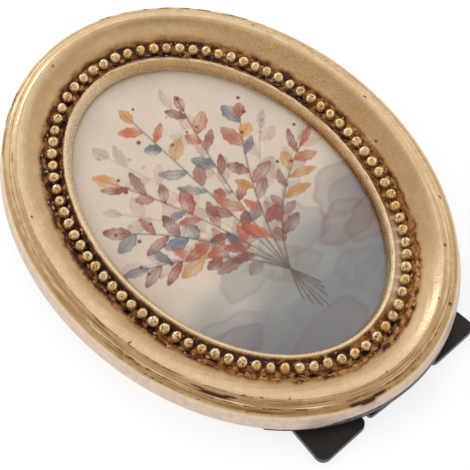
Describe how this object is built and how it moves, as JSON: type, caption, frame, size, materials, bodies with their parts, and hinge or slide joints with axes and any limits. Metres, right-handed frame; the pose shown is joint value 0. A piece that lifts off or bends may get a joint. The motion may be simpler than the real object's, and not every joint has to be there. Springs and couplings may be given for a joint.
{
  "type": "oval picture frame",
  "caption": "Oval table picture frame with a beaded gold moulding, glass, print, a back held by turn buttons, and a footed stand board with a hinged easel leg.",
  "frame": {"origin": "under the middle of the oval, on the surface that the frame lies on with its leg folded", "axes": "+Z out of the picture, +Y towards the picture's top, +X towards the picture's right"},
  "size_m": [0.1546, 0.2016, 0.0167],
  "materials": {
    "gold_resin": "cast resin with an antique gold finish, satin",
    "gold_bead": "cast resin bead with a polished gold finish",
    "clear_glass": "clear float glass",
    "printed_paper": "printed card, satin",
    "grey_card": "plain grey card",
    "black_board": "fibreboard with a matte black finish",
    "zinc_steel": "zinc plated",
    "hinge_steel": "plain pressed steel",
    "brassed_steel": "brass plated pressed strip"
  },
  "bodies": {
    "frame": {"moulding": "gold_resin", "bead_row": "gold_bead", "glass": "clear_glass", "print": "printed_paper", "filler_card": "grey_card", "back_board": "black_board", "stand_board": "black_board", "stand_screws": "zinc_steel", "hinge_fixed_leaf": "hinge_steel", "hinge_pin": "hinge_steel", "hinge_fixed_rivets": "zinc_steel", "turn_button_screws": "zinc_steel"},
    "leg": {"easel_leg": "black_board", "hinge_leg_leaf": "hinge_steel", "hinge_leg_rivets": "zinc_steel"},
    "turn_button_upper_left": {"turn_button_upper_left": "brassed_steel"},
    "turn_button_upper_right": {"turn_button_upper_right": "brassed_steel"},
    "turn_button_lower_left": {"turn_button_lower_left": "brassed_steel"},
    "turn_button_lower_right": {"turn_button_lower_right": "brassed_steel"}
  },
  "joints": [
    {"name": "leg_swing", "type": "hinge", "parent": "frame", "child": "leg", "pos_m": [-0.0039, 0.028, 0.0014], "axis": [1, 0, 0], "range_deg": [0, 30]},
    {"name": "turn_button_upper_left_turn", "type": "hinge", "parent": "frame", "child": "turn_button_upper_left", "pos_m": [-0.06, 0.024, 0.0055], "axis": [0, 0, 1], "range_deg": [-90, 90]},
    {"name": "turn_button_upper_right_turn", "type": "hinge", "parent": "frame", "child": "turn_button_upper_right", "pos_m": [0.06, 0.024, 0.0055], "axis": [0, 0, 1], "range_deg": [-90, 90]},
    {"name": "turn_button_lower_left_turn", "type": "hinge", "parent": "frame", "child": "turn_button_lower_left", "pos_m": [-0.06, -0.024, 0.0055], "axis": [0, 0, 1], "range_deg": [-90, 90]},
    {"name": "turn_button_lower_right_turn", "type": "hinge", "parent": "frame", "child": "turn_button_lower_right", "pos_m": [0.06, -0.024, 0.0055], "axis": [0, 0, 1], "range_deg": [-90, 90]}
  ]
}
